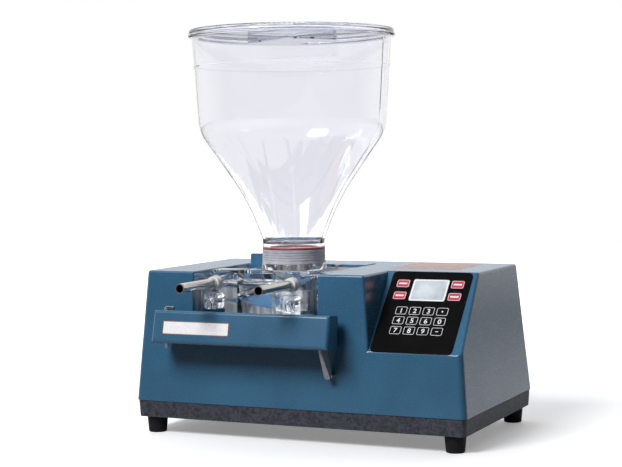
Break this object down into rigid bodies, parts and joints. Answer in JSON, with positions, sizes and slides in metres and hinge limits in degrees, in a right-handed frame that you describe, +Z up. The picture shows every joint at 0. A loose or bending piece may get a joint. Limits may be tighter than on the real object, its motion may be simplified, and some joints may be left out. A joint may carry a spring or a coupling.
{
  "type": "donut filler",
  "caption": "Countertop pastry filler: drafted housing with sloped keypad, clear lidded hopper, gear pump in an open bay, filling nozzles and a hinged trigger bar.",
  "frame": {"origin": "middle of the overall box in plan, on the bench plane under the rubber feet", "axes": "+X to the right as seen from the front, +Y from the nozzles to the back wall, +Z up"},
  "size_m": [0.44, 0.35, 0.5097],
  "materials": {
    "housing_blue": "satin moulded",
    "tray_dark": "mottled, textured",
    "foot_rubber": "matt",
    "fastener_steel": "polished",
    "pump_steel": "brushed",
    "rotor_acetal": "machined",
    "seal_rubber": "smooth",
    "clear_acrylic": "clear polished",
    "collar_grey": "satin",
    "collar_white": "satin",
    "panel_black": "satin film",
    "soft_key_red": "satin film",
    "display_grey": "matt",
    "board_green": "solder mask",
    "bracket_steel": "plated",
    "motor_metal": "painted",
    "black_plastic": "moulded"
  },
  "bodies": {
    "base": {"housing": "housing_blue", "base_tray": "tray_dark", "rubber_feet": "foot_rubber", "foot_screws": "fastener_steel", "hinge_bracket": "housing_blue", "trigger_switch": "black_plastic", "control_panel": "panel_black", "display_lens": "clear_acrylic", "display_module": "display_grey", "control_board": "board_green", "motor_bracket": "bracket_steel", "gearbox": "motor_metal", "motor_can": "motor_metal", "power_supply": "bracket_steel", "power_inlet": "black_plastic", "switch_bezel": "black_plastic"},
    "drive": {"drive_dog": "pump_steel"},
    "trigger": {"trigger_bar": "housing_blue", "trigger_arm": "housing_blue"},
    "hinge_pin": {"hinge_pin": "fastener_steel"},
    "plunger": {"trigger_plunger": "pump_steel", "plunger_spring": "fastener_steel"},
    "rocker": {"switch_rocker": "black_plastic"},
    "pump": {"pump_block": "pump_steel", "manifold": "clear_acrylic", "manifold_studs": "fastener_steel", "top_plate": "clear_acrylic", "top_plate_screws": "fastener_steel", "pump_cover": "housing_blue", "inlet_collar": "collar_grey", "inlet_o_ring": "seal_rubber", "shaft_seal": "seal_rubber"},
    "drive_rotor": {"drive_rotor": "rotor_acetal"},
    "idler_rotor": {"idler_rotor": "rotor_acetal"},
    "left_nozzle": {"left_nozzle": "pump_steel", "left_nozzle_collar": "collar_white"},
    "right_nozzle": {"right_nozzle": "pump_steel", "right_nozzle_collar": "collar_white"},
    "left_knob": {"left_knob": "clear_acrylic"},
    "right_knob": {"right_knob": "clear_acrylic"},
    "hopper": {"hopper": "clear_acrylic"},
    "lid": {"hopper_lid": "clear_acrylic"},
    "key_one": {"key_one": "panel_black"},
    "key_two": {"key_two": "panel_black"},
    "key_three": {"key_three": "panel_black"},
    "key_dot": {"key_dot": "panel_black"},
    "key_four": {"key_four": "panel_black"},
    "key_five": {"key_five": "panel_black"},
    "key_six": {"key_six": "panel_black"},
    "key_zero": {"key_zero": "panel_black"},
    "key_seven": {"key_seven": "panel_black"},
    "key_eight": {"key_eight": "panel_black"},
    "key_nine": {"key_nine": "panel_black"},
    "key_dash": {"key_dash": "panel_black"},
    "soft_key_left_upper": {"soft_key_left_upper": "soft_key_red"},
    "soft_key_left_lower": {"soft_key_left_lower": "soft_key_red"},
    "soft_key_right_upper": {"soft_key_right_upper": "soft_key_red"},
    "soft_key_right_lower": {"soft_key_right_lower": "soft_key_red"}
  },
  "joints": [
    {"name": "drive_spin", "type": "hinge", "parent": "base", "child": "drive", "pos_m": [-0.037, -0.017, 0.146], "axis": [0, 0, 1], "continuous": true},
    {"name": "trigger_swing", "type": "hinge", "parent": "base", "child": "trigger", "pos_m": [-0.166, -0.105, 0.14], "axis": [0, 0, 1], "range_deg": [0, 1.2], "stiffness_Nm_per_rad": 2, "springref_deg": -1.72},
    {"name": "hinge_pin_lift", "type": "slide", "parent": "base", "child": "hinge_pin", "axis": [0, 0, 1], "range_m": [0, 0.05]},
    {"name": "plunger_push", "type": "slide", "parent": "base", "child": "plunger", "axis": [0, 1, 0], "range_m": [0, 0.0046], "stiffness_N_per_m": 150, "deforming": ["plunger_spring"]},
    {"name": "power_rocker", "type": "hinge", "parent": "base", "child": "rocker", "pos_m": [-0.098, 0.17037, 0.082], "axis": [-1, 0, 0], "range_deg": [-16, 0]},
    {"name": "pump_lift", "type": "slide", "parent": "base", "child": "pump", "axis": [0, 0, 1], "range_m": [0, 0.08]},
    {"name": "drive_rotor_spin", "type": "hinge", "parent": "pump", "child": "drive_rotor", "pos_m": [-0.037, -0.017, 0.18], "axis": [0, 0, 1], "continuous": true},
    {"name": "idler_rotor_spin", "type": "hinge", "parent": "pump", "child": "idler_rotor", "pos_m": [-0.073, -0.017, 0.18], "axis": [0, 0, 1], "continuous": true},
    {"name": "hopper_lift", "type": "slide", "parent": "pump", "child": "hopper", "axis": [0, 0, 1], "range_m": [0, 0.04]},
    {"name": "lid_lift", "type": "slide", "parent": "hopper", "child": "lid", "axis": [0, 0, 1], "range_m": [0, 0.05]},
    {"name": "left_nozzle_pull", "type": "slide", "parent": "pump", "child": "left_nozzle", "axis": [0, -1, 0], "range_m": [0, 0.04]},
    {"name": "left_knob_turn", "type": "hinge", "parent": "pump", "child": "left_knob", "pos_m": [-0.107, -0.089, 0.1714], "axis": [0, -1, 0], "range_deg": [0, 720]},
    {"name": "right_nozzle_pull", "type": "slide", "parent": "pump", "child": "right_nozzle", "axis": [0, -1, 0], "range_m": [0, 0.04]},
    {"name": "right_knob_turn", "type": "hinge", "parent": "pump", "child": "right_knob", "pos_m": [-0.003, -0.089, 0.1714], "axis": [0, -1, 0], "range_deg": [0, 720]},
    {"name": "key_one_press", "type": "slide", "parent": "base", "child": "key_one", "axis": [0, 0.7254, -0.6884], "range_m": [0, 0.0005], "stiffness_N_per_m": 300},
    {"name": "key_two_press", "type": "slide", "parent": "base", "child": "key_two", "axis": [0, 0.7254, -0.6884], "range_m": [0, 0.0005], "stiffness_N_per_m": 300},
    {"name": "key_three_press", "type": "slide", "parent": "base", "child": "key_three", "axis": [0, 0.7254, -0.6884], "range_m": [0, 0.0005], "stiffness_N_per_m": 300},
    {"name": "key_dot_press", "type": "slide", "parent": "base", "child": "key_dot", "axis": [0, 0.7254, -0.6884], "range_m": [0, 0.0005], "stiffness_N_per_m": 300},
    {"name": "key_four_press", "type": "slide", "parent": "base", "child": "key_four", "axis": [0, 0.7254, -0.6884], "range_m": [0, 0.0005], "stiffness_N_per_m": 300},
    {"name": "key_five_press", "type": "slide", "parent": "base", "child": "key_five", "axis": [0, 0.7254, -0.6884], "range_m": [0, 0.0005], "stiffness_N_per_m": 300},
    {"name": "key_six_press", "type": "slide", "parent": "base", "child": "key_six", "axis": [0, 0.7254, -0.6884], "range_m": [0, 0.0005], "stiffness_N_per_m": 300},
    {"name": "key_zero_press", "type": "slide", "parent": "base", "child": "key_zero", "axis": [0, 0.7254, -0.6884], "range_m": [0, 0.0005], "stiffness_N_per_m": 300},
    {"name": "key_seven_press", "type": "slide", "parent": "base", "child": "key_seven", "axis": [0, 0.7254, -0.6884], "range_m": [0, 0.0005], "stiffness_N_per_m": 300},
    {"name": "key_eight_press", "type": "slide", "parent": "base", "child": "key_eight", "axis": [0, 0.7254, -0.6884], "range_m": [0, 0.0005], "stiffness_N_per_m": 300},
    {"name": "key_nine_press", "type": "slide", "parent": "base", "child": "key_nine", "axis": [0, 0.7254, -0.6884], "range_m": [0, 0.0005], "stiffness_N_per_m": 300},
    {"name": "key_dash_press", "type": "slide", "parent": "base", "child": "key_dash", "axis": [0, 0.7254, -0.6884], "range_m": [0, 0.0005], "stiffness_N_per_m": 300},
    {"name": "soft_key_left_upper_press", "type": "slide", "parent": "base", "child": "soft_key_left_upper", "axis": [0, 0.7254, -0.6884], "range_m": [0, 0.0005], "stiffness_N_per_m": 300},
    {"name": "soft_key_left_lower_press", "type": "slide", "parent": "base", "child": "soft_key_left_lower", "axis": [0, 0.7254, -0.6884], "range_m": [0, 0.0005], "stiffness_N_per_m": 300},
    {"name": "soft_key_right_upper_press", "type": "slide", "parent": "base", "child": "soft_key_right_upper", "axis": [0, 0.7254, -0.6884], "range_m": [0, 0.0005], "stiffness_N_per_m": 300},
    {"name": "soft_key_right_lower_press", "type": "slide", "parent": "base", "child": "soft_key_right_lower", "axis": [0, 0.7254, -0.6884], "range_m": [0, 0.0005], "stiffness_N_per_m": 300}
  ],
  "couplings": [
    {"joint": "plunger_push", "follows": "trigger_swing", "m_per_rad": 0.216},
    {"joint": "drive_rotor_spin", "follows": "drive_spin", "ratio": 1},
    {"joint": "idler_rotor_spin", "follows": "drive_spin", "ratio": -1}
  ]
}
